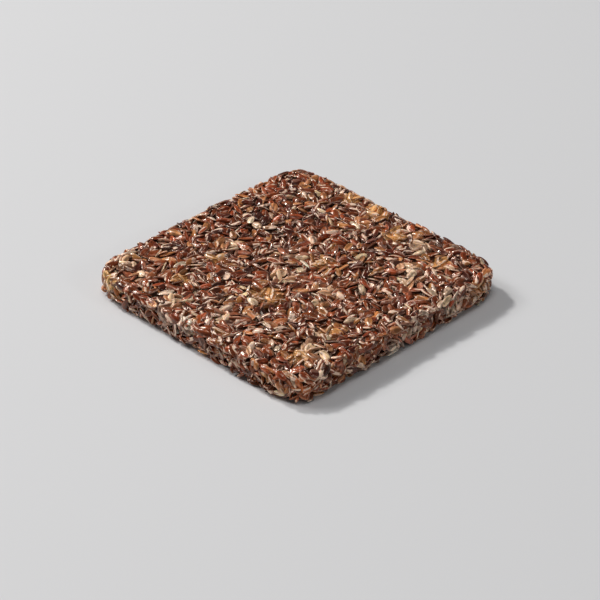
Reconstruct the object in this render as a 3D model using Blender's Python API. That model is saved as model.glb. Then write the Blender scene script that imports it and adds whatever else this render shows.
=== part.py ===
"""Flaxseed brittle: one pressed square of whole flaxseeds set in syrup.

Run with: blender --background --python part.py

The brittle is a single solid. Its core is a square plate of syrup with rounded corners and softened
edges. Its top and walls are covered all over with the seeds that show, each a low oval bump at its true
size, fused to the core. The underside is the flat face that lay on the tray. Metres, +Z up, origin at
the middle of the base.

The skin is laid out on a flat sheet first: the top face keeps its own shape, and the walls are folded
out around it. A sheet point is a 2D vector. Its half side is that of the round-cornered square that
passes through it, so the walls are the band past the top face's rim.
"""

import math
import random

import bmesh
import bpy
from mathutils import Vector
from mathutils.geometry import delaunay_2d_cdt

# Driving dimensions of the plate
SIDE = 0.090
THICKNESS = 0.010
CORNER_POWER = 10.0  # exponent of the superellipse in plan: 2 is a circle, 10 a round-cornered square
EDGE_RADIUS = 0.0026
FOOT_TUCK = 0.0006  # how far the walls pull in where the seeds curl under at the base
FOOT_POWER = 4  # the tuck grows with this power of the way down the wall
SWAY = 0.00022  # slow waviness of a plate that was rolled by hand
SWAY_WAVES = 1.4  # waves of it along one side

# One flaxseed and how it lies
SEED_LENGTH = 0.0047
SEED_WIDTH = 0.0024
SIZE_SPREAD = 0.12  # share by which seeds differ in size
CREST_LENGTH = 0.5  # of the ridge along a seed's middle, over the seed's length
CREST_HEIGHT = 0.00062  # how far the ridge stands over the syrup
CREST_SPREAD = 0.00015
EDGE_DEPTH = 0.00028  # how far a seed's outline is bedded under the syrup's mean level
TOP_TILT = math.radians(7)
WALL_TILT = math.radians(11)

# Outlines in shares of the seed's length and width: a whole seed's blunt end is at -u, its point at +u
WHOLE_OUTLINE = ((-0.50, 0.0), (-0.24, -0.48), (0.20, -0.46), (0.52, 0.0), (0.20, 0.46), (-0.24, 0.48))
SUNK_OUTLINE = ((-0.50, 0.0), (0.0, -0.48), (0.50, 0.0), (0.0, 0.48))
TIP_WIDTH = 0.72  # width near a seed's two ends, over its full width

# How the seeds are scattered: the whole ones first, then half-sunk ones between them
SCATTER_SEED = 41
WHOLE_TRIES = 40000
SUNK_TRIES = 5500
SUNK_SHOWING = 0.66  # share of a half-sunk seed's size that shows
PLAY = 0.0001  # least gap between two neighbours
LOOKUP_CELL = 0.003  # of the grid in which neighbours are found, over the width of the largest seed

# Layout of the sheet
BED_HALF = SIDE / 2 - CREST_HEIGHT - CREST_SPREAD  # half side of the syrup's own outline, under the bumps
BED_TOP = THICKNESS - CREST_HEIGHT - CREST_SPREAD
WALL_TOP = BED_TOP - EDGE_RADIUS
RIM_HALF = BED_HALF - EDGE_RADIUS
EDGE_LENGTH = EDGE_RADIUS * math.pi / 2
BELOW_BASE = SEED_LENGTH / 2  # the skin runs this far past the base before it is cut flat
SHEET_HALF = RIM_HALF + EDGE_LENGTH + WALL_TOP + BELOW_BASE
RING_STEP = 0.0022  # between the points along the sheet's outer edge
SHEET_MARGIN = 0.0005  # the seeds keep this far in from that edge
SAME_POINT = 1e-7
ON_PLANE = 1e-6

SEED_BROWN = (0.17, 0.065, 0.030, 1.0)


def plan_reach(angle):
    """Distance from the middle to the outline of a round-cornered square of half side 1."""
    power = abs(math.cos(angle)) ** CORNER_POWER + abs(math.sin(angle)) ** CORNER_POWER
    return power ** (-1.0 / CORNER_POWER)


def half_side(point):
    """Half side of the round-cornered square that passes through a sheet point."""
    return point.length / plan_reach(math.atan2(point.y, point.x))


def plan_normal(point):
    """Outward direction, in plan, of the round-cornered square that passes through a point."""
    steep = CORNER_POWER - 1
    scaled = point / max(abs(point.x), abs(point.y))
    out = Vector((math.copysign(abs(scaled.x) ** steep, scaled.x),
                  math.copysign(abs(scaled.y) ** steep, scaled.y)))
    return out.normalized()


def wall_section(walk):
    """(inset, height, slope of the normal) at a distance down from the top face's rim."""
    if walk < EDGE_LENGTH:
        turn = walk / EDGE_RADIUS
        return EDGE_RADIUS * (1 - math.sin(turn)), BED_TOP - EDGE_RADIUS * (1 - math.cos(turn)), turn
    height = WALL_TOP - (walk - EDGE_LENGTH)
    down = 1 - height / WALL_TOP
    return FOOT_TUCK * down ** FOOT_POWER, height, math.pi / 2


def sway(place):
    """Height of the slow waviness at a place, which fades out towards the base."""
    turn = 2 * math.pi * SWAY_WAVES / SIDE
    return SWAY * math.sin(turn * (place.x + place.y / 2)) * math.cos(turn * place.y) * place.z / BED_TOP


def on_skin(point, lift):
    """The place in space of a sheet point that stands lift over the bare syrup."""
    half = half_side(point)
    if half <= RIM_HALF:
        place = Vector((point.x, point.y, BED_TOP))
        normal = Vector((0, 0, 1))
    else:
        inset, height, slope = wall_section(half - RIM_HALF)
        plan = point * ((BED_HALF - inset) / half)
        place = Vector((plan.x, plan.y, height))
        out = plan_normal(point)
        normal = Vector((out.x * math.sin(slope), out.y * math.sin(slope), math.cos(slope)))
    place.z += sway(place)
    return place + normal * lift


class Seed:
    """One seed on the sheet: its middle, its size and pose, and the sheet steps along and across it."""

    def __init__(self, middle, whole, rng):
        half = half_side(middle)
        on_top = half <= RIM_HALF
        showing = 1 if whole else SUNK_SHOWING
        tilt = TOP_TILT if on_top else WALL_TILT
        self.middle = middle
        self.whole = whole
        self.length = SEED_LENGTH * showing * (1 + rng.uniform(-SIZE_SPREAD, SIZE_SPREAD))
        self.width = SEED_WIDTH * showing * (1 + rng.uniform(-SIZE_SPREAD, SIZE_SPREAD))
        self.crest = CREST_HEIGHT * showing + rng.uniform(-CREST_SPREAD, CREST_SPREAD)
        self.pitch = math.tan(rng.uniform(-tilt, tilt))
        self.roll = math.tan(rng.uniform(-tilt, tilt))
        if on_top:
            around = Vector((1, 0))
            down = Vector((0, 1))
        else:
            # Sheet steps that are one metre in space, around the wall and down it
            out = plan_normal(middle)
            around = Vector((-out.y, out.x)) * half / BED_HALF
            down = middle / half
        heading = rng.uniform(0, 2 * math.pi)
        self.along = around * math.cos(heading) + down * math.sin(heading)
        self.across = down * math.cos(heading) - around * math.sin(heading)

    def sheet_point(self, u, v):
        """The sheet point u metres along the seed and v metres across it."""
        return self.middle + self.along * u + self.across * v

    def lifted(self, u, v, height):
        """(sheet point, lift over the syrup) of a point of the tilted seed."""
        return self.sheet_point(u, v), height + u * self.pitch + v * self.roll

    def outline(self):
        """The points round the seed, fewer where it is half sunk."""
        places = WHOLE_OUTLINE if self.whole else SUNK_OUTLINE
        return [self.lifted(u * self.length, v * self.width, -EDGE_DEPTH) for u, v in places]

    def ridge(self):
        """The two ends of the ridge along a whole seed, or the one peak of a half-sunk seed."""
        if not self.whole:
            return [self.lifted(0, 0, self.crest)]
        reach = self.length * CREST_LENGTH / 2
        return [self.lifted(-reach, 0, self.crest), self.lifted(reach, 0, self.crest)]

    def discs(self):
        """(place, radius) of three discs that cover the seed, by which it keeps off its neighbours."""
        middle_radius = self.width / 2
        tip_radius = middle_radius * TIP_WIDTH
        reach = self.length / 2 - tip_radius
        return [(on_skin(self.sheet_point(u, 0), 0), radius)
                for u, radius in ((-reach, tip_radius), (0, middle_radius), (reach, tip_radius))]

    def on_sheet(self):
        return all(half_side(point) < SHEET_HALF - SHEET_MARGIN for point, _ in self.outline())


class Crowd:
    """The discs of the seeds placed so far, kept in a grid for quick lookup."""

    def __init__(self):
        self.cells = {}

    def cell_of(self, place):
        return tuple(math.floor(coordinate / LOOKUP_CELL) for coordinate in place)

    def add(self, discs):
        for place, radius in discs:
            self.cells.setdefault(self.cell_of(place), []).append((place, radius))

    def clears(self, place, radius):
        """Whether a disc keeps its gap to all the discs in the cells around it."""
        x, y, z = self.cell_of(place)
        for i in (x - 1, x, x + 1):
            for j in (y - 1, y, y + 1):
                for k in (z - 1, z, z + 1):
                    for other, other_radius in self.cells.get((i, j, k), ()):
                        if (place - other).length < radius + other_radius + PLAY:
                            return False
        return True


def scattered_seeds():
    """Seeds at random places and headings over the whole sheet, none on another."""
    rng = random.Random(SCATTER_SEED)
    crowd = Crowd()
    seeds = []
    for whole, tries in ((True, WHOLE_TRIES), (False, SUNK_TRIES)):
        for _ in range(tries):
            middle = Vector((rng.uniform(-SHEET_HALF, SHEET_HALF), rng.uniform(-SHEET_HALF, SHEET_HALF)))
            seed = Seed(middle, whole, rng)
            discs = seed.discs()
            if seed.on_sheet() and all(crowd.clears(place, radius) for place, radius in discs):
                seeds.append(seed)
                crowd.add(discs)
    return seeds


def outer_ring():
    """Points along the sheet's outer edge, well under the base."""
    count = round(8 * SHEET_HALF / RING_STEP)
    ring = []
    for i in range(count):
        angle = 2 * math.pi * i / count
        reach = SHEET_HALF * plan_reach(angle)
        ring.append((Vector((reach * math.cos(angle), reach * math.sin(angle))), 0.0))
    return ring


def seeded_skin():
    """The open skin of seeds over the top and walls, as a bmesh."""
    points = []
    edges = []
    for seed in scattered_seeds():
        first = len(points)
        outline = seed.outline()
        ridge = seed.ridge()
        points += outline + ridge
        count = len(outline)
        edges += [(first + i, first + (i + 1) % count) for i in range(count)]
        edges += [(first + count + i, first + count + i + 1) for i in range(len(ridge) - 1)]
    points += outer_ring()
    places = [point for point, _ in points]
    verts, _, faces, sources, _, _ = delaunay_2d_cdt(places, edges, [], 0, SAME_POINT)
    skin = bmesh.new()
    for vert, source in zip(verts, sources):
        # Where two outlines cross, the extra point has no source and lies on the bare syrup
        lift = points[source[0]][1] if source else 0.0
        skin.verts.new(on_skin(vert, lift))
    skin.verts.ensure_lookup_table()
    for face in faces:
        skin.faces.new([skin.verts[i] for i in face])
    return skin


def cut_base(skin):
    """Cuts the skin off at the base plane and caps it with one flat face."""
    everything = skin.verts[:] + skin.edges[:] + skin.faces[:]
    bmesh.ops.bisect_plane(skin, geom=everything, dist=ON_PLANE, plane_co=(0, 0, 0), plane_no=(0, 0, 1),
                           clear_inner=True)
    rim = [edge for edge in skin.edges if edge.is_boundary]
    for vert in {vert for edge in rim for vert in edge.verts}:
        vert.co.z = 0.0
    bmesh.ops.edgeloop_fill(skin, edges=rim)
    bmesh.ops.recalc_face_normals(skin, faces=skin.faces)
    bmesh.ops.triangulate(skin, faces=[face for face in skin.faces if len(face.verts) > 3])


def centre_over_origin(skin):
    """Moves the skin so that the middle of its box lies over the origin."""
    xs = [vert.co.x for vert in skin.verts]
    ys = [vert.co.y for vert in skin.verts]
    middle = Vector(((min(xs) + max(xs)) / 2, (min(ys) + max(ys)) / 2, 0))
    bmesh.ops.translate(skin, verts=skin.verts, vec=-middle)


def seed_material():
    material = bpy.data.materials.new("glazed_flaxseed")
    material.use_nodes = True
    shader = material.node_tree.nodes["Principled BSDF"]
    shader.inputs["Base Color"].default_value = SEED_BROWN
    shader.inputs["Roughness"].default_value = 0.32
    shader.inputs["Metallic"].default_value = 0.0
    return material


def build_brittle():
    skin = seeded_skin()
    cut_base(skin)
    centre_over_origin(skin)
    mesh = bpy.data.meshes.new("flaxseed_brittle")
    skin.to_mesh(mesh)
    skin.free()
    mesh.materials.append(seed_material())
    brittle = bpy.data.objects.new("flaxseed_brittle", mesh)
    bpy.context.scene.collection.objects.link(brittle)


def main():
    for leftover in list(bpy.data.objects):
        bpy.data.objects.remove(leftover)
    build_brittle()


main()
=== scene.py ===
"""Looks of the flaxseed brittle: whole glazed flaxseeds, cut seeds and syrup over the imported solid.

The surface of the brittle is laid flat as three charts: the top, the ring of walls and the underside.
On each chart seeds are dropped one by one towards the core, and each comes to rest on those below it,
until the finished surface is reached. A core of syrup fills what no seed shows. Seeds of one kind are
one piece. Lengths are in millimetres up to the meshes, which are in metres like the camera and stage.
"""

import math
from collections import namedtuple

import bmesh
import bpy
import numpy as np
from mathutils import Matrix, Vector


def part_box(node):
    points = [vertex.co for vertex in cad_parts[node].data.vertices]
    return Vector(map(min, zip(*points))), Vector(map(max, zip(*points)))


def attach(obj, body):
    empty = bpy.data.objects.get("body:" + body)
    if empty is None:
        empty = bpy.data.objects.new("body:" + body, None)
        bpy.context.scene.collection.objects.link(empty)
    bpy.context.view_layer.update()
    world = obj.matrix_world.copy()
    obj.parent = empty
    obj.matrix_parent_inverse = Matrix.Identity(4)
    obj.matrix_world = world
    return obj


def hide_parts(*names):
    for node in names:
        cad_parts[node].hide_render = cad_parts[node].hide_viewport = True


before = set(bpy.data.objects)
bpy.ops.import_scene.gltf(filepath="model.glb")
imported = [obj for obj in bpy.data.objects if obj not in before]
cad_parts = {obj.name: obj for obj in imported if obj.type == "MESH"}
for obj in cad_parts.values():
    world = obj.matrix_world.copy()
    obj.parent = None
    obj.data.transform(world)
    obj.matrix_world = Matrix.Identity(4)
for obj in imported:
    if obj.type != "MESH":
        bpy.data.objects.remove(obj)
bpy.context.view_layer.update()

MM = 0.001
RANDOM_SEED = 7

# The finished outline, from the frame's box
NODE = "flaxseed_brittle"
NODE_LOW, NODE_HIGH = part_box(NODE)
BUMP_HEIGHT = 0.4  # how far the highest seeds stand over the level of the top
HALF = (NODE_HIGH[0] - NODE_LOW[0] + NODE_HIGH[1] - NODE_LOW[1]) / 4 / MM
TOP = NODE_HIGH[2] / MM - BUMP_HEIGHT
CORNER_POWER = 10.0  # exponent of the superellipse in plan
OUTLINE_POINTS = 4001
EDGE_RADIUS = 2.4
FOOT_TUCK = 0.6  # how far the walls pull in at the base
SWAY_HEIGHT = 0.22  # slow waviness of the rolled top
SWAY_PACE = 0.098  # radians for each millimetre

# One flaxseed
SEED_HALF = np.array((2.35, 1.2, 0.50))  # half its length, width and thickness
SIZE_SPREAD = 0.16
CHIP_SCALE = 0.72  # size of the seeds that fill the last gaps, over the size of the others
BLUNTNESS = 0.9  # under 1, the ends are blunter than an ellipse's
TAPER = 0.22  # how much narrower a seed gets towards its beak
THIN_RIM = 1.35  # over 1, the rim is thinner than an ellipse's
BEAK_BEND = 0.08
BEAK = (1.08, 0.16, 0.0)
PLAIN_DETAIL = (12, 8)  # points round a seed, and rings from end to end
CUT_DETAIL = (14, 10)

# How a seed comes to rest
REST = 0.01  # how far the lowest seeds are off the surface under the brittle
SINK = 0.14  # how far a seed is pressed into those under it
SPOTS = 12  # places at random, of which a seed takes the one with the most room
TRIES = 3  # seeds tried for each one that is laid
PATIENCE = 70  # a chart is full when this many seeds in a row find no room
CHIP_PATIENCE = 16
BEARING = 0.8  # share of a seed's outline, squared, over which the heap's slope is read
STEEPEST = (0.5, 0.8)  # slopes of the heap that a seed follows, along and across it, at most
STRAY = (0.14, 0.22)  # how far its own slopes stray from the heap's
WILD_ROLL = 1.3  # the same across a seed that is pushed in at any angle
STAND_OUT = (-0.15, 0.25)  # how far a seed may stand out of the finished surface
WILD_STAND_OUT = (-0.1, 0.25)
WILD_SHOWN = 0.65  # share of such a seed that must lie over the heap
HEAP_OVER = 0.3  # the heap ends this far over the finished surface

# Cells of the charts
CELL = 0.2
PATCH = 13  # cells each way round a seed's middle
MARGIN = 3.2  # how far a chart runs past the edge of its surface
WALL_ROWS = (-MARGIN, 13.2)
NOWHERE = -9.0  # the limit where no seed may lie
TOP_DEPTH = 2.6  # how deep under the finished surface the first seeds lie
WALL_DEPTH = 2.5
TOP_PITS = (0.25, 0.1)  # height of the surface's unevenness, and how far all of it is lowered
WALL_PITS = (0.6, 0.35)
WALL_FOOT = 0.3  # heights between which the wall's surface runs: from the base, and under the top
WALL_HEAD = 0.6
PAST_BASE = 0.1  # how far a wall seed may reach past the base
UNDER_TOP = 0.55  # share of its upward reach by which its middle stays under the top
BASE_LAYER = 1.9  # how high the seeds of the underside reach
BASE_INSET = 0.8
TOP_KEEP = 0.05  # how far inside the outline the seeds of the top and of the underside stay
BASE_KEEP = 0.5
CUT_OVER = 0.35  # a wall seed that stands further out than this was cut
CUT_LEVEL = 0.1  # how far out of the smooth wall a cut seed ends
WALL_LEVEL = 0.6  # the same for a whole one, which is pressed flat there
FLESH_FROM = 0.02  # flesh shows where more than this is cut off, and fully so much deeper
FLESH_FULL = 0.10

# The syrup core
CORE_CELLS = 190
CORE_INSET = 2.0
CORE_ROWS = 18
CORE_BASE = 0.26
TOP_SYRUP = 0.45  # how far the syrup stays under the smoothed heap of seeds
WALL_SYRUP = 0.7
POOL_RISE = 0.2  # how much higher it stands in a pool
SMOOTHING = 2.2  # of the heaps, in cells
CORE_RIM = 6.0  # height of the core's surface past the rim of the top
CORE_DEPTH = 2.4  # how deep the walls' heap is followed
CORE_CLEAR = 0.25  # how far the core stays inside the smooth wall
CORE_BLEND = 5  # the core goes from the top's rim to the walls in one of this many parts of its height

# The photograph's camera, from the square's outline in it
FOCAL_PX = 2560
IMAGE_PX = 600
PITCH = math.radians(33.15)
YAW = math.radians(45.1)
DISTANCE = 0.783  # metres
ORIGIN_PX = (297.2, 292.3)  # where the middle of the underside is in the photograph

# The stage, in metres and watts
FLOOR_REACH = 3.0
FLOOR_COLOUR = (0.635, 0.64, 0.655, 1)
SKY_STRENGTH = 0.12
# Place, size, power and colour of each lamp
LAMPS = {
    "ceiling": ((0.1, -0.2, 1.9), 0.7, 9.0, (1.0, 1.0, 1.0)),
    "window": ((-1.5, -0.75, 1.5), 0.7, 18.5, (1.0, 0.99, 0.98)),
    "glint": ((-1.6, -0.15, 1.6), 0.22, 28.0, (1.0, 0.98, 0.95)),
    "side_glint": ((1.5, 0.20, 0.9), 0.25, 2.2, (1.0, 0.98, 0.95)),
}


def plan_reach(angle):
    """Distance from the middle to the outline of a round-cornered square of half side 1."""
    power = np.abs(np.cos(angle)) ** CORNER_POWER + np.abs(np.sin(angle)) ** CORNER_POWER
    return power ** (-1.0 / CORNER_POWER)


def half_side(x, y):
    """Half side of the round-cornered square through each point."""
    return np.hypot(x, y) / plan_reach(np.arctan2(y, x))


def plan_normal(x, y):
    """Outward unit vector of the round-cornered square through each point."""
    largest = np.maximum(np.maximum(np.abs(x), np.abs(y)), 1e-9)
    nx = np.sign(x) * np.abs(x / largest) ** (CORNER_POWER - 1)
    ny = np.sign(y) * np.abs(y / largest) ** (CORNER_POWER - 1)
    size = np.hypot(nx, ny)
    return nx / size, ny / size


def rolled(depth):
    """Drop of the softened top edge at a depth in from the edge's outermost line."""
    into = np.clip(EDGE_RADIUS - depth, 0, EDGE_RADIUS)
    return EDGE_RADIUS - np.sqrt(EDGE_RADIUS ** 2 - into ** 2)


def sway(x, y):
    """Height of the rolled top's slow waviness."""
    return SWAY_HEIGHT * np.sin(SWAY_PACE * (x + y / 2)) * np.cos(SWAY_PACE * y)


def pits(a, b):
    """Unevenness at about the size of a seed, from -1 to 1."""
    bent = a + 0.8 * np.sin(0.9 * b + 0.4)
    fine = np.sin(1.35 * bent) * np.sin(1.15 * b + 1.1 * np.sin(0.55 * a))
    return 0.6 * fine + 0.4 * np.sin(0.5 * a + 0.83 * b)


class Outline:
    """The outline in plan by arc length, for the ring of walls."""

    def __init__(self):
        self.turn = np.linspace(0, 2 * math.pi, OUTLINE_POINTS)
        self.x = HALF * plan_reach(self.turn) * np.cos(self.turn)
        self.y = HALF * plan_reach(self.turn) * np.sin(self.turn)
        steps = np.hypot(np.diff(self.x), np.diff(self.y))
        self.arc = np.concatenate(([0], np.cumsum(steps)))
        self.length = self.arc[-1]

    def place(self, s, depth):
        """Plan points at arc length s and a distance out from the outline."""
        s = np.mod(s, self.length)
        x = np.interp(s, self.arc, self.x)
        y = np.interp(s, self.arc, self.y)
        nx, ny = plan_normal(x, y)
        return x + nx * depth, y + ny * depth

    def arc_at(self, x, y):
        """Arc length of the outline's point in the direction of each plan point."""
        return np.interp(np.mod(np.arctan2(y, x), 2 * math.pi), self.turn, self.arc)


OUTLINE = Outline()


def wall_surface(s, h):
    """The smooth wall at arc length s and height h, as a distance out of the outline."""
    x, y = OUTLINE.place(s, 0)
    level = h * TOP / (TOP + sway(x, y))
    foot = np.clip(1 - level / (TOP - EDGE_RADIUS), 0, 1)
    return -rolled(TOP - level) - FOOT_TUCK * foot ** 4


# A seed on a chart: its middle, its directions, its half sizes, and how far it stands out
Seed = namedtuple("Seed", "a b c axes half over")


def shell_heights(axes, half, da, db):
    """Lower and upper height of a seed's shell at offsets from its middle, and where it reaches."""
    m = axes @ np.diag(half ** -2.0) @ axes.T
    b = m[0, 2] * da + m[1, 2] * db
    c = m[0, 0] * da * da + 2 * m[0, 1] * da * db + m[1, 1] * db * db - 1
    inside = b * b - m[2, 2] * c
    root = np.sqrt(np.maximum(inside, 0))
    return (-b - root) / m[2, 2], (-b + root) / m[2, 2], inside > 0


def seed_axes(slope_u, slope_v, heading):
    """Length, width and flat directions of a seed at a heading that slopes along and across itself."""
    cos, sin = math.cos(heading), math.sin(heading)
    up = np.array((-slope_u * cos + slope_v * sin, -slope_u * sin - slope_v * cos, 1.0))
    up /= np.linalg.norm(up)
    along = np.array((cos, sin, 0.0))
    along -= (along @ up) * up
    along /= np.linalg.norm(along)
    return np.column_stack((along, np.cross(up, along), up))


class Chart:
    """A stretch of surface laid flat, with the height of the heap of seeds over each of its cells.

    a and b run along the chart and heights run out of it. limit(a, b) is the finished surface, and
    floor(a, b) is where the first seeds lie. keep(a, b, ra, rb) moves a seed's middle so that it stays
    on the chart, given how far it reaches each way. A share of the seeds, wild, is pushed in at any
    angle. Their long side slopes by about steep, and up to cut of them stands out to be cut off.
    """

    def __init__(self, name, a_range, b_range, limit, floor, keep, rng, wild=0.0, steep=0.0, cut=0.0):
        self.name = name
        self.rng = rng
        self.low = np.array((a_range[0], b_range[0]))
        sides = np.array((a_range[1] - a_range[0], b_range[1] - b_range[0]))
        self.shape = (sides // CELL).astype(int)
        self.span = self.shape * CELL
        a = self.low[0] + (np.arange(self.shape[0]) + 0.5) * CELL
        b = self.low[1] + (np.arange(self.shape[1]) + 0.5) * CELL
        grid_a, grid_b = np.meshgrid(a, b, indexing="ij")
        self.limit = limit(grid_a, grid_b)
        self.heap = floor(grid_a, grid_b)
        self.keep = keep
        self.wild = wild
        self.steep = steep
        self.cut = cut
        self.seeds = []
        self.around = np.arange(-PATCH, PATCH + 1)
        step = self.around * CELL
        self.step_a, self.step_b = np.meshgrid(step, step, indexing="ij")

    def cells(self, a, b):
        """The patch of cells round a point, and the cells' offsets from it. The chart's ends join."""
        i = int((a - self.low[0]) / CELL)
        j = int((b - self.low[1]) / CELL)
        patch = np.ix_((i + self.around) % self.shape[0], (j + self.around) % self.shape[1])
        da = self.around[:, None] * CELL + self.low[0] + (i + 0.5) * CELL - a
        db = self.around[None, :] * CELL + self.low[1] + (j + 0.5) * CELL - b
        return patch, da, db

    def roomiest(self):
        """The place with the most room under the limit, out of some at random."""
        spots = self.low + self.rng.random((SPOTS, 2)) * self.span
        i = ((spots[:, 0] - self.low[0]) / CELL).astype(int)
        j = ((spots[:, 1] - self.low[1]) / CELL).astype(int)
        best = int(np.argmax(self.limit[i, j] - self.heap[i, j]))
        return spots[best]

    def slopes_under(self, a, b, half, heading):
        """Slopes of the heap under a seed, along and across it."""
        cos, sin = math.cos(heading), math.sin(heading)
        u = self.step_a * cos + self.step_b * sin
        v = self.step_b * cos - self.step_a * sin
        under = (u / half[0]) ** 2 + (v / half[1]) ** 2 < BEARING
        patch, _, _ = self.cells(a, b)
        ground = self.heap[patch][under]
        ground = ground - ground.mean()
        slope_u = (ground * u[under]).sum() / (u[under] ** 2).sum()
        slope_v = (ground * v[under]).sum() / (v[under] ** 2).sum()
        return np.clip(slope_u, -STEEPEST[0], STEEPEST[0]), np.clip(slope_v, -STEEPEST[1], STEEPEST[1])

    def try_seed(self, scale, wild):
        """One seed dropped at a roomy place: whether it fits, the seed, and the cells under it."""
        rng = self.rng
        a, b = self.roomiest()
        half = SEED_HALF * (1 + rng.uniform(-SIZE_SPREAD, SIZE_SPREAD, 3)) * scale
        heading = rng.uniform(0, 2 * math.pi)
        slope_u, slope_v = self.slopes_under(a, b, half, heading)
        slope_u += rng.normal(0, self.steep if wild else STRAY[0])
        slope_v += rng.normal(0, WILD_ROLL if wild else STRAY[1])
        axes = seed_axes(slope_u, slope_v, heading)
        reach_a, reach_b = np.sqrt(((axes[:2] * half) ** 2).sum(1))
        a, b = self.keep(a, b, reach_a, reach_b)
        patch, da, db = self.cells(a, b)
        low, high, touches = shell_heights(axes, half, da, db)
        c = float((self.heap[patch] - low)[touches].max()) - SINK * scale
        room = float((self.limit[patch] - high)[touches].min())
        if wild:
            c = min(c, room + rng.uniform(*WILD_STAND_OUT))
            c += rng.uniform(0, self.cut)
            fits = (c + high > self.heap[patch])[touches].mean() > WILD_SHOWN
        else:
            fits = c < room + rng.uniform(*STAND_OUT)
        return fits, Seed(a, b, c, axes, half, c - room), patch, high, touches

    def drop(self, scale):
        """Drops one seed where it comes to lie lowest out of a few tries. Says whether there was room."""
        wild = self.rng.random() < self.wild
        best = None
        for _ in range(1 if wild else TRIES):
            made = self.try_seed(scale, wild)
            if made[0] and (best is None or made[1].c < best[1].c):
                best = made
        if best is None:
            return False
        _, seed, patch, high, touches = best
        raised = np.minimum(seed.c + high, self.limit[patch] + HEAP_OVER)
        raised = np.maximum(self.heap[patch], raised)
        self.heap[patch] = np.where(touches, raised, self.heap[patch])
        self.seeds.append(seed)
        return True

    def fill(self, scale, patience):
        """Drops seeds until that many in a row find no room."""
        fails = 0
        while fails < patience:
            fails = 0 if self.drop(scale) else fails + 1


def keep_in_plan(inset):
    """A rule that keeps seeds inside the outline, less an inset."""
    def keep(a, b, reach_a, reach_b):
        over_a = max(abs(a) + reach_a - (HALF - inset), 0)
        over_b = max(abs(b) + reach_b - (HALF - inset), 0)
        a -= math.copysign(over_a, a)
        b -= math.copysign(over_b, b)
        half = float(half_side(a, b))
        allowed = HALF - inset - min(reach_a, reach_b)
        shrink = min(1.0, allowed / half) if half > 1 else 1.0
        return a * shrink, b * shrink
    return keep


def keep_on_wall(s, h, reach_s, reach_h):
    """The rule that keeps wall seeds between the base and the top."""
    return s, min(max(h, reach_h - PAST_BASE), TOP - UNDER_TOP * reach_h)


def top_limit(x, y):
    wall = HALF - half_side(x, y)
    level = TOP + sway(x, y) - rolled(wall) + TOP_PITS[0] * pits(x, y) - TOP_PITS[1]
    return np.where(wall > 0, level, NOWHERE)


def wall_limit(s, h):
    x, y = OUTLINE.place(s, 0)
    level = h * TOP / (TOP + sway(x, y))
    limit = wall_surface(s, h) + WALL_PITS[0] * pits(s, h) - WALL_PITS[1]
    return np.where((h > WALL_FOOT) & (level < TOP - WALL_HEAD), limit, NOWHERE)


def base_limit(x, y):
    return np.where(half_side(x, y) < HALF - BASE_INSET, BASE_LAYER, NOWHERE)


def filled_charts():
    """The charts of the top, the walls and the underside, full of seeds."""
    rng = np.random.default_rng(RANDOM_SEED)
    plan = (-HALF - MARGIN, HALF + MARGIN)
    ring = (0, math.floor(OUTLINE.length / CELL) * CELL)
    top = Chart("top", plan, plan, top_limit,
                lambda x, y: np.minimum(TOP, TOP - rolled(HALF - half_side(x, y))) - TOP_DEPTH,
                keep_in_plan(TOP_KEEP), rng, wild=0.2, steep=0.45)
    wall = Chart("wall", ring, WALL_ROWS, wall_limit, lambda s, h: np.full_like(s, -WALL_DEPTH),
                 keep_on_wall, rng, wild=0.55, steep=1.3, cut=0.35)
    base = Chart("base", plan, plan, base_limit, lambda x, y: np.zeros_like(x),
                 keep_in_plan(BASE_KEEP), rng)
    for chart in (top, wall, base):
        chart.fill(1.0, PATIENCE)
        if chart is not base:
            chart.fill(CHIP_SCALE, CHIP_PATIENCE)
    return top, wall, base


def camera_frame():
    """Directions back, right and up of the photograph's camera, and its place in metres."""
    back = Vector((math.sin(YAW) * math.cos(PITCH), -math.cos(YAW) * math.cos(PITCH), math.sin(PITCH)))
    right = Vector((math.cos(YAW), math.sin(YAW), 0))
    up = back.cross(right)
    aside = (ORIGIN_PX[0] - IMAGE_PX / 2) * DISTANCE / FOCAL_PX
    above = (IMAGE_PX / 2 - ORIGIN_PX[1]) * DISTANCE / FOCAL_PX
    return back, right, up, back * DISTANCE - right * aside - up * above


def sight_line(column, row):
    """The camera's place, and the direction from it through a pixel of the photograph."""
    back, right, up, eye = camera_frame()
    return eye, right * (column - IMAGE_PX / 2) + up * (IMAGE_PX / 2 - row) - back * FOCAL_PX


def on_top(column, row):
    """The place on the top face, in millimetres, that a pixel of the photograph shows."""
    eye, ray = sight_line(column, row)
    place = eye + ray * ((TOP * MM - eye.z) / ray.z)
    return place.x / MM, place.y / MM


def on_wall(column, row):
    """The place on a near wall, as arc length and height in millimetres, that a pixel shows."""
    eye, ray = sight_line(column, row)
    if column < ORIGIN_PX[0]:
        place = eye + ray * ((-HALF * MM - eye.y) / ray.y)
    else:
        place = eye + ray * ((HALF * MM - eye.x) / ray.x)
    return float(OUTLINE.arc_at(place.x, place.y)), place.z / MM


def to_linear(red, green, blue):
    """Linear colour of an sRGB colour in steps of 255."""
    c = np.array((red, green, blue)) / 255
    return np.where(c <= 0.04045, c / 12.92, ((c + 0.055) / 1.055) ** 2.4)


FLESH = to_linear(232, 200, 168)
# Pale hull colour, used at seed rims and in flakes, where it is partly painted highlight
HULL_AND_HIGHLIGHT = to_linear(249, 215, 190)
AMBER = to_linear(206, 148, 88)
# Dark cooked syrup; its darkness is partly painted shade for the gaps between the seeds
SYRUP = to_linear(60, 24, 12)
CREAM = to_linear(242, 206, 168)
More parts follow.
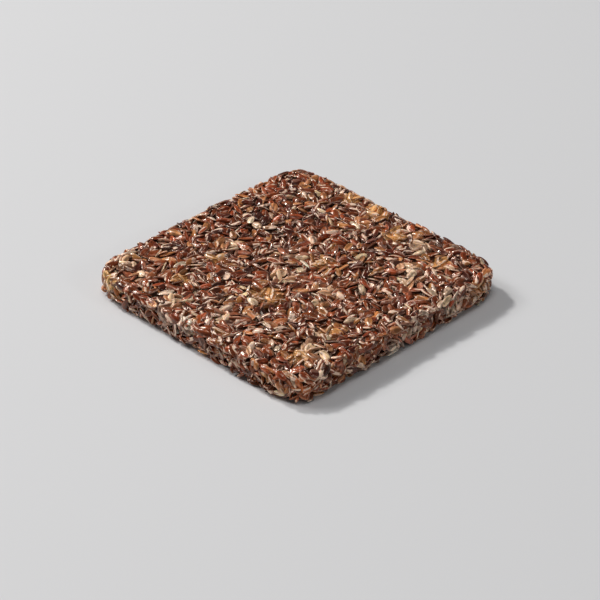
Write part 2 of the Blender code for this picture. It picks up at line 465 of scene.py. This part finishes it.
# Colour of each kind of seed, its share on the top and underside, and its share on the walls
KINDS = {
    "brown": (to_linear(133, 62, 26), 0.33, 0.30),
    "russet": (to_linear(143, 62, 28), 0.26, 0.21),
    "amber": (to_linear(184, 118, 70), 0.16, 0.17),
    "plum": (to_linear(88, 31, 15), 0.19, 0.20),
    "cream": (to_linear(241, 205, 170), 0.06, 0.12),
}
SHADES = {"top": (0.55, 1.25), "wall": (0.5, 1.5), "base": (0.55, 1.25)}  # darkest and lightest seeds
CLOUDING = 0.28  # how much the seeds of one place differ from those of another
WHITEST = 0.95  # the most light that a hull throws back, in each colour
RIM_PALE_AND_HIGHLIGHT = 0.55  # how much pale colour shows at a seed's thin rim, at most: partly the hull's own lighter edge, partly painted highlight
RIM_POWER = 5  # the higher, the narrower that rim
WALL_RIM = 1.6  # the same on the walls, over that
FLAKING_AND_HIGHLIGHT = (0.15, 1.0)  # how far the hull of a whole and of a worn seed has flaked, and so how strong its pale flakes are, which are partly painted highlight
FLAKING_SHARES = (0.42, 0.58)
HUE_SPREAD = (0.05, 0.08)  # how much the red and the blue of seeds of one kind differ
FILM = (0.3, 1.2)  # thinnest and thickest film of syrup on a seed
POOL_SHADES = (0.75, 1.4)  # darkest and lightest seeds in a pool
# Darkest and lightest seeds in a patch; lightening past the patch's own colour is painted light that
# offsets shade
PATCH_SHADES_AND_PAINTED_LIGHT = (0.95, 1.35)
TAKEN = 0.95  # how fully a seed takes the colour of a pool or a patch
PASSED_OVER = 0.2  # how fully the rest of the seeds in a patch take it
TAKEN_SHARE = 0.75  # share of a patch's seeds that take it fully
CLEANED = 0.9  # how much of its film a seed in a patch has lost
BOWED = 0.16  # how far a seed is bowed along its length, and twisted
TWISTED = 0.10
GRAIN_SHIFT = 40  # each seed's streaks are read somewhere within so far

# Pools of clear amber syrup: the pixel of the photograph where each lies, and its radius
POOLS = [(*on_top(*pixel), radius) for pixel, radius in (
    ((268, 294), 4.6), ((378, 207), 4.4), ((352, 196), 3.0), ((215, 256), 3.0), ((322, 262), 3.0),
    ((300, 352), 3.6), ((395, 232), 3.4), ((330, 330), 3.0), ((180, 275), 2.6), ((440, 262), 3.0))]

# Patches where most seeds have one colour: on the walls the pixel of the photograph, radius and
# colour of each, and on the top the pixel and radius of each pale one
WALL_PATCHES = [(*on_wall(*pixel), radius, colour) for pixel, radius, colour in (
    ((104, 284), 4.0, to_linear(222, 180, 120)), ((163, 309), 3.4, to_linear(238, 226, 204)),
    ((182, 322), 2.4, to_linear(238, 224, 202)), ((262, 372), 2.6, to_linear(206, 150, 100)),
    ((300, 394), 4.0, to_linear(196, 112, 64)), ((395, 352), 2.6, to_linear(236, 218, 198)),
    ((412, 330), 2.8, to_linear(236, 218, 196)), ((455, 306), 3.2, to_linear(236, 214, 190)),
    ((484, 284), 4.0, to_linear(208, 150, 96)))]
TOP_PATCHES = [(*on_top(*pixel), radius, CREAM) for pixel, radius in (
    ((232, 244), 2.4), ((282, 253), 3.0), ((283, 274), 2.8), ((326, 288), 2.4), ((128, 260), 2.4),
    ((139, 272), 2.2), ((172, 297), 2.4), ((225, 317), 2.4), ((408, 267), 2.4), ((410, 281), 2.2),
    ((423, 243), 2.8), ((310, 345), 2.6), ((252, 345), 2.0))]
PATCHES = {"top": TOP_PATCHES, "wall": WALL_PATCHES, "base": ()}


def amber_share(x, y):
    """How much clear syrup lies over the seeds at points of the top: 0 for none, 1 in a pool."""
    share = 0
    for middle_x, middle_y, radius in POOLS:
        apart = ((x - middle_x) ** 2 + (y - middle_y) ** 2) / radius ** 2
        share = np.maximum(share, np.exp(-apart ** 2))
    return share


def seed_template(around, rings):
    """Points and triangles of a seed of half sizes 1: blunt at -x, with its little beak at +x."""
    points = [(-1.0, 0.0, 0.0)]
    for ring in range(1, rings):
        turn = math.pi * ring / rings
        x = -math.cos(turn)
        wide = math.sin(turn) ** BLUNTNESS * (1 - TAPER * x)
        for step in range(around):
            angle = 2 * math.pi * step / around
            y = wide * math.cos(angle)
            z = wide * math.copysign(abs(math.sin(angle)) ** THIN_RIM, math.sin(angle))
            points.append((x, y + BEAK_BEND * max(x, 0) ** 3, z))
    points.append(BEAK)
    faces = []
    last = len(points) - 1
    for a in range(around):
        b = (a + 1) % around
        faces.append((0, 1 + b, 1 + a))
        for ring in range(rings - 2):
            first = 1 + ring * around
            faces.append((first + a, first + b, first + around + b))
            faces.append((first + a, first + around + b, first + around + a))
        first = 1 + (rings - 2) * around
        faces.append((first + a, first + b, last))
    return np.array(points), np.array(faces)


def add_mesh(name, points, faces):
    """A smooth-shaded piece from arrays of points, in millimetres, and of faces."""
    mesh = bpy.data.meshes.new(name)
    mesh.vertices.add(len(points))
    mesh.vertices.foreach_set("co", (points * MM).astype(np.float32).ravel())
    mesh.loops.add(faces.size)
    mesh.loops.foreach_set("vertex_index", faces.astype(np.int32).ravel())
    mesh.polygons.add(len(faces))
    mesh.polygons.foreach_set("loop_start", np.arange(0, faces.size, faces.shape[1], dtype=np.int32))
    mesh.polygons.foreach_set("use_smooth", np.ones(len(faces), dtype=bool))
    mesh.update(calc_edges=True)
    piece = bpy.data.objects.new(name, mesh)
    bpy.context.scene.collection.objects.link(piece)
    return piece


def give_points(mesh, name, kind, values):
    """Stores a colour, a vector or a number at each point of a mesh."""
    layer = mesh.attributes.new(name, kind, "POINT")
    if kind == "FLOAT_COLOR":
        values = np.column_stack((values, np.ones(len(values))))
    field = {"FLOAT_COLOR": "color", "FLOAT_VECTOR": "vector", "FLOAT": "value"}[kind]
    layer.data.foreach_set(field, values.astype(np.float32).ravel())


def seed_shade(chart_name, a, b, colour, rng):
    """Colour of one seed, and how thick the film of syrup on it is."""
    shade = colour * rng.uniform(*SHADES[chart_name])
    shade = shade * (1 + rng.normal(0, HUE_SPREAD[0]), 1, 1 - rng.normal(0, HUE_SPREAD[1]))
    shade = shade * (1 + CLOUDING * pits(0.5 * a, 0.5 * b))
    film = rng.uniform(*FILM)
    if chart_name == "top":
        gold = float(amber_share(a, b))
        shade = shade + (AMBER * rng.uniform(*POOL_SHADES) - shade) * TAKEN * gold
    for patch_a, patch_b, radius, patch_colour in PATCHES[chart_name]:
        near = math.exp(-((a - patch_a) ** 2 + (b - patch_b) ** 2) / radius ** 2)
        strength = TAKEN if rng.random() < TAKEN_SHARE else PASSED_OVER
        # The patch colour's lightening is partly painted light
        shade = shade + (patch_colour * rng.uniform(*PATCH_SHADES_AND_PAINTED_LIGHT) - shade) * strength * near
        film *= 1 - CLEANED * strength * near
    return shade, film


def cut_to_wall(local, tint, shade, is_cut):
    """Levels what stands out of the wall. A cut seed is levelled closer and shows its flesh there."""
    limit = wall_surface(local[:, 0], local[:, 1]) + (CUT_LEVEL if is_cut else WALL_LEVEL)
    past = local[:, 2] - limit
    local[:, 2] -= np.maximum(past, 0)
    if is_cut:
        flesh = np.clip((past - FLESH_FROM) / FLESH_FULL, 0, 1)[:, None]
        tint = shade * (1 - flesh) + FLESH * flesh
    return tint


def seed_piece(name, seeds, template, colour, rng):
    """One mesh of many seeds: (chart's name, seed) pairs, each bent a little and of its own shade."""
    points, faces = template
    count = len(points)
    total = len(seeds) * count
    placed = np.empty((total, 3))
    grain = np.empty((total, 3))
    tint = np.empty((total, 3))
    flaking_and_highlight = np.empty(total)
    coat = np.empty(total)
    # Paler towards the thin rim: partly the hull's own lighter edge, partly painted highlight where the
    # edge catches the light
    rim = (1 - np.abs(points[:, 2:]) / np.abs(points[:, 2]).max()) ** RIM_POWER
    for k, (chart_name, seed) in enumerate(seeds):
        rows = slice(k * count, (k + 1) * count)
        body = points * seed.half
        body[:, 2] += rng.uniform(-BOWED, BOWED) * (points[:, 0] ** 2 - 0.4)
        body[:, 2] += rng.uniform(-TWISTED, TWISTED) * points[:, 0] * points[:, 1]
        local = body @ seed.axes.T + (seed.a, seed.b, seed.c)
        shade, film = seed_shade(chart_name, seed.a, seed.b, colour, rng)
        # The pale rim mixed in here is partly painted highlight
        rim_pale_and_highlight = rng.uniform(0, RIM_PALE_AND_HIGHLIGHT) * (WALL_RIM if chart_name == "wall" else 1)
        look = shade + (HULL_AND_HIGHLIGHT - shade) * rim * rim_pale_and_highlight
        if chart_name == "wall":
            look = cut_to_wall(local, look, shade, seed.over > CUT_OVER)
            x, y = OUTLINE.place(local[:, 0], local[:, 2])
            local = np.column_stack((x, y, local[:, 1]))
        local[:, 2] = np.maximum(local[:, 2], REST)
        placed[rows] = local
        tint[rows] = np.minimum(look, WHITEST)
        grain[rows] = body + rng.uniform(-GRAIN_SHIFT, GRAIN_SHIFT, 3)
        # Strength of the pale flakes: partly flaked hull, partly painted highlight
        flaking_and_highlight[rows] = rng.choice(FLAKING_AND_HIGHLIGHT, p=FLAKING_SHARES)
        coat[rows] = film
    starts = np.arange(len(seeds)) * count
    piece = add_mesh(name, placed, (faces[None] + starts[:, None, None]).reshape(-1, 3))
    give_points(piece.data, "tint", "FLOAT_COLOR", tint)
    give_points(piece.data, "grain", "FLOAT_VECTOR", grain)
    give_points(piece.data, "flaking_and_highlight", "FLOAT", flaking_and_highlight)
    give_points(piece.data, "coat", "FLOAT", coat)
    return piece


def all_seed_pieces(charts):
    """One piece for each kind of seed, and one for the seeds that were cut."""
    rng = np.random.default_rng(RANDOM_SEED + 1)
    names = list(KINDS)
    groups = {name: [] for name in names}
    cut = []
    for chart in charts:
        is_wall = chart.name == "wall"
        shares = [wall_share if is_wall else share for _, share, wall_share in KINDS.values()]
        for seed in chart.seeds:
            if is_wall and seed.over > CUT_OVER:
                cut.append((chart.name, seed))
            else:
                groups[names[rng.choice(len(names), p=shares)]].append((chart.name, seed))
    plain = seed_template(*PLAIN_DETAIL)
    made = [seed_piece("flaxseeds_" + name, groups[name], plain, KINDS[name][0], rng) for name in names]
    made.append(seed_piece("flaxseeds_cut", cut, seed_template(*CUT_DETAIL), KINDS["brown"][0], rng))
    return made


def new_material(name):
    """A material with nodes: itself, its nodes, what links them, and its shader."""
    material = bpy.data.materials.new(name)
    material.use_nodes = True
    tree = material.node_tree
    return material, tree.nodes, tree.links.new, tree.nodes["Principled BSDF"]


def add_attribute(nodes, name):
    node = nodes.new("ShaderNodeAttribute")
    node.attribute_name = name
    return node.outputs


def add_range(nodes, link, source, given, wanted):
    """A node that maps one range of a value to another, and its output."""
    node = nodes.new("ShaderNodeMapRange")
    node.inputs["From Min"].default_value, node.inputs["From Max"].default_value = given
    node.inputs["To Min"].default_value, node.inputs["To Max"].default_value = wanted
    link(source, node.inputs["Value"])
    return node.outputs["Result"]


def add_noise(nodes, link, vector, scale, detail):
    node = nodes.new("ShaderNodeTexNoise")
    node.inputs["Scale"].default_value = scale
    node.inputs["Detail"].default_value = detail
    link(vector, node.inputs["Vector"])
    return node.outputs["Fac"]


def add_product(nodes, link, first, second):
    node = nodes.new("ShaderNodeMath")
    node.operation = "MULTIPLY"
    link(first, node.inputs[0])
    link(second, node.inputs[1])
    return node.outputs["Value"]


def add_scaled(nodes, link, colour, scale):
    """A node that makes a colour darker or lighter, and its output."""
    node = nodes.new("ShaderNodeVectorMath")
    node.operation = "SCALE"
    link(colour, node.inputs[0])
    link(scale, node.inputs["Scale"])
    return node.outputs["Vector"]


def add_mix(nodes, link, factor, source, colour):
    """A node that mixes one fixed colour into another colour, and its output."""
    node = nodes.new("ShaderNodeMix")
    node.data_type = "RGBA"
    link(factor, node.inputs["Factor"])
    link(source, node.inputs["A"])
    node.inputs["B"].default_value = (*colour, 1)
    return node.outputs["Result"]


def seed_glaze():
    """Seed hull under syrup: streaked along the seed dark and pale, with highlights that follow it."""
    material, nodes, link, shader = new_material("glazed_seed")
    grain = add_attribute(nodes, "grain")["Vector"]
    flaking_and_highlight = add_attribute(nodes, "flaking_and_highlight")["Fac"]
    stretch = nodes.new("ShaderNodeMapping")
    stretch.inputs["Scale"].default_value = (0.25, 1.0, 1.0)
    link(grain, stretch.inputs["Vector"])
    streak = add_noise(nodes, link, stretch.outputs["Vector"], 1.0, 2.5)
    depth = add_range(nodes, link, streak, (0.34, 0.64), (0.45, 1.55))
    shade = add_scaled(nodes, link, add_attribute(nodes, "tint")["Color"], depth)
    # Pale flakes along the streaks: partly flaked hull, partly painted highlight
    flake_and_highlight = add_range(nodes, link, streak, (0.55, 0.59), (0.0, 1.0))
    flaked_and_highlit = add_mix(nodes, link, add_product(nodes, link, flake_and_highlight, flaking_and_highlight), shade, HULL_AND_HIGHLIGHT)
    film = add_noise(nodes, link, grain, 0.7, 3.0)
    smear = add_range(nodes, link, film, (0.52, 0.62), (0.0, 0.65))
    smeared = add_product(nodes, link, smear, add_attribute(nodes, "coat")["Fac"])
    link(add_mix(nodes, link, smeared, flaked_and_highlit, SYRUP), shader.inputs["Base Color"])
    link(add_range(nodes, link, film, (0.35, 0.65), (0.10, 0.28)), shader.inputs["Roughness"])
    bump = nodes.new("ShaderNodeBump")
    link(add_range(nodes, link, flaking_and_highlight, (0.0, 1.0), (0.15, 1.0)), bump.inputs["Strength"])
    bump.inputs["Distance"].default_value = 0.0006
    link(streak, bump.inputs["Height"])
    link(bump.outputs["Normal"], shader.inputs["Normal"])
    shader.inputs["Specular IOR Level"].default_value = 0.65
    shader.inputs["Specular Tint"].default_value = (1.0, 0.85, 0.74, 1)
    shader.inputs["Subsurface Weight"].default_value = 0.15
    shader.inputs["Subsurface Radius"].default_value = (1.0, 0.42, 0.18)
    shader.inputs["Subsurface Scale"].default_value = 0.0007
    return material


def syrup_glaze():
    """Cooked syrup, dark between the seeds, partly as painted shade, and amber in the pools, with a
    rippled gloss.
    """
    material, nodes, link, shader = new_material("amber_syrup")
    where = nodes.new("ShaderNodeTexCoord").outputs["Object"]
    cloud = add_noise(nodes, link, where, 400.0, 3.0)
    depth = add_range(nodes, link, cloud, (0.35, 0.65), (0.45, 1.5))
    tint = add_attribute(nodes, "tint")["Color"]
    link(add_scaled(nodes, link, tint, depth), shader.inputs["Base Color"])
    bump = nodes.new("ShaderNodeBump")
    bump.inputs["Strength"].default_value = 0.7
    bump.inputs["Distance"].default_value = 0.0004
    link(add_noise(nodes, link, where, 900.0, 2.0), bump.inputs["Height"])
    link(bump.outputs["Normal"], shader.inputs["Normal"])
    shader.inputs["Roughness"].default_value = 0.25
    shader.inputs["Specular IOR Level"].default_value = 0.4
    shader.inputs["Specular Tint"].default_value = (1.0, 0.72, 0.50, 1)
    return material


def blurred(field, ring=False):
    """A field of cells smoothed by a Gaussian. Its first axis joins its ends where it is a ring."""
    reach = int(3 * SMOOTHING)
    taps = np.exp(-0.5 * (np.arange(-reach, reach + 1) / SMOOTHING) ** 2)
    taps /= taps.sum()
    for axis in (0, 1):
        pad = [(reach, reach) if a == axis else (0, 0) for a in (0, 1)]
        padded = np.pad(field, pad, mode="wrap" if ring and axis == 0 else "edge")
        size = field.shape[axis]
        field = sum(tap * np.take(padded, np.arange(size) + k, axis=axis) for k, tap in enumerate(taps))
    return field


def sampled(chart, field, a, b):
    """Reading of a field of a chart's cells at any points, between the cells."""
    i = np.clip((a - chart.low[0]) / CELL - 0.5, 0, chart.shape[0] - 1.001)
    j = np.clip((b - chart.low[1]) / CELL - 0.5, 0, chart.shape[1] - 1.001)
    i0, j0 = i.astype(int), j.astype(int)
    fi, fj = i - i0, j - j0
    low = field[i0, j0] * (1 - fi) + field[i0 + 1, j0] * fi
    high = field[i0, j0 + 1] * (1 - fi) + field[i0 + 1, j0 + 1] * fi
    return low * (1 - fj) + high * fj


def core_top(chart):
    """Points, faces and rim of the syrup under the top's seeds, and where it lies in pools."""
    heap = np.where(chart.limit > 0, np.minimum(chart.heap, chart.limit + 0.1), CORE_RIM)
    level = blurred(heap) - TOP_SYRUP
    side = np.linspace(-1, 1, CORE_CELLS + 1)
    u, v = np.meshgrid(side, side, indexing="ij")
    angle = np.arctan2(v, u)
    reach = (HALF - CORE_INSET) * np.maximum(np.abs(u), np.abs(v)) * plan_reach(angle)
    x, y = reach * np.cos(angle), reach * np.sin(angle)
    gold = amber_share(x, y)
    z = sampled(chart, level, x, y) + POOL_RISE * gold
    points = np.column_stack((x.ravel(), y.ravel(), z.ravel()))
    index = np.arange(u.size).reshape(u.shape)
    faces = np.stack((index[:-1, :-1], index[1:, :-1], index[1:, 1:], index[:-1, 1:]), -1).reshape(-1, 4)
    rim = np.concatenate((index[:-1, 0], index[-1, :-1], index[:0:-1, -1], index[0, :0:-1]))
    return points, faces, rim, gold.ravel()


def core_walls(chart, start):
    """Rings of points of the syrup behind the walls' seeds, from the top's rim down to the base."""
    level = blurred(np.clip(chart.heap, -CORE_DEPTH, 0.0), ring=True) - WALL_SYRUP
    arc = OUTLINE.arc_at(start[:, 0], start[:, 1])
    rings = []
    for row in range(1, CORE_ROWS + 1):
        share = row / CORE_ROWS
        height = start[:, 2] * (1 - share) + CORE_BASE * share
        clear = wall_surface(arc, height) - CORE_CLEAR
        out = np.minimum(sampled(chart, level, arc, height), clear)
        blend = min(share * CORE_BLEND, 1.0)
        x, y = OUTLINE.place(arc, out)
        rings.append(np.column_stack((start[:, 0] * (1 - blend) + x * blend,
                                      start[:, 1] * (1 - blend) + y * blend, height)))
    return rings


def syrup_core(top_chart, wall_chart):
    """The syrup between and under the seeds, one closed body that follows the heaps on the charts."""
    top, top_faces, rim, gold = core_top(top_chart)
    rings = core_walls(wall_chart, top[rim])
    faces = [top_faces]
    above = rim
    for row in range(CORE_ROWS):
        below = len(top) + row * len(rim) + np.arange(len(rim))
        faces.append(np.stack((np.roll(above, -1), above, below, np.roll(below, -1)), -1))
        above = below
    piece = add_mesh("syrup_core", np.concatenate((top, *rings)), np.concatenate(faces))
    gold = np.concatenate((gold, np.zeros(CORE_ROWS * len(rim))))[:, None]
    # The core's dark syrup colour in the gaps is partly painted shade
    give_points(piece.data, "tint", "FLOAT_COLOR", SYRUP * (1 - gold) + AMBER * gold)
    body = bmesh.new()
    body.from_mesh(piece.data)
    bmesh.ops.edgeloop_fill(body, edges=[edge for edge in body.edges if edge.is_boundary])
    bmesh.ops.recalc_face_normals(body, faces=body.faces)
    body.to_mesh(piece.data)
    body.free()
    return piece


def make_camera():
    """The photograph's view: its focal length, tilt and place."""
    back, right, up, eye = camera_frame()
    camera = bpy.data.cameras.new("camera")
    camera.sensor_width = 36
    camera.lens = camera.sensor_width * FOCAL_PX / IMAGE_PX
    camera.clip_start = 0.01
    camera.clip_end = 20
    holder = bpy.data.objects.new("camera", camera)
    bpy.context.scene.collection.objects.link(holder)
    holder.location = eye
    holder.rotation_mode = "QUATERNION"
    holder.rotation_quaternion = Matrix((right, up, back)).transposed().to_quaternion()
    bpy.context.scene.camera = holder


def add_lamp(name, place, size, power, colour):
    """A square lamp that points at the brittle."""
    lamp = bpy.data.lights.new(name, "AREA")
    lamp.size = size
    lamp.energy = power
    lamp.color = colour
    holder = bpy.data.objects.new(name, lamp)
    bpy.context.scene.collection.objects.link(holder)
    holder.location = place
    holder.rotation_mode = "QUATERNION"
    holder.rotation_quaternion = (-Vector(place)).to_track_quat("-Z", "Y")


def make_floor():
    reach = FLOOR_REACH
    mesh = bpy.data.meshes.new("floor")
    corners = [(-reach, -reach, 0), (reach, -reach, 0), (reach, reach, 0), (-reach, reach, 0)]
    mesh.from_pydata(corners, [], [(0, 1, 2, 3)])
    material, _, _, shader = new_material("pale_floor")
    shader.inputs["Base Color"].default_value = FLOOR_COLOUR
    shader.inputs["Roughness"].default_value = 0.7
    mesh.materials.append(material)
    floor = bpy.data.objects.new("floor", mesh)
    bpy.context.scene.collection.objects.link(floor)


def make_stage():
    make_floor()
    world = bpy.data.worlds.new("studio")
    bpy.context.scene.world = world
    world.use_nodes = True
    sky = world.node_tree.nodes["Background"]
    sky.inputs["Color"].default_value = (1.0, 1.0, 1.0, 1)
    sky.inputs["Strength"].default_value = SKY_STRENGTH
    for name, lamp in LAMPS.items():
        add_lamp(name, *lamp)
    bpy.context.scene.view_settings.view_transform = "Standard"


top_chart, wall_chart, base_chart = filled_charts()
pieces = all_seed_pieces((top_chart, wall_chart, base_chart))
glaze = seed_glaze()
for piece in pieces:
    piece.data.materials.append(glaze)
core = syrup_core(top_chart, wall_chart)
core.data.materials.append(syrup_glaze())
for piece in (*pieces, core):
    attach(piece, "root")
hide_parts(NODE)
make_camera()
make_stage()
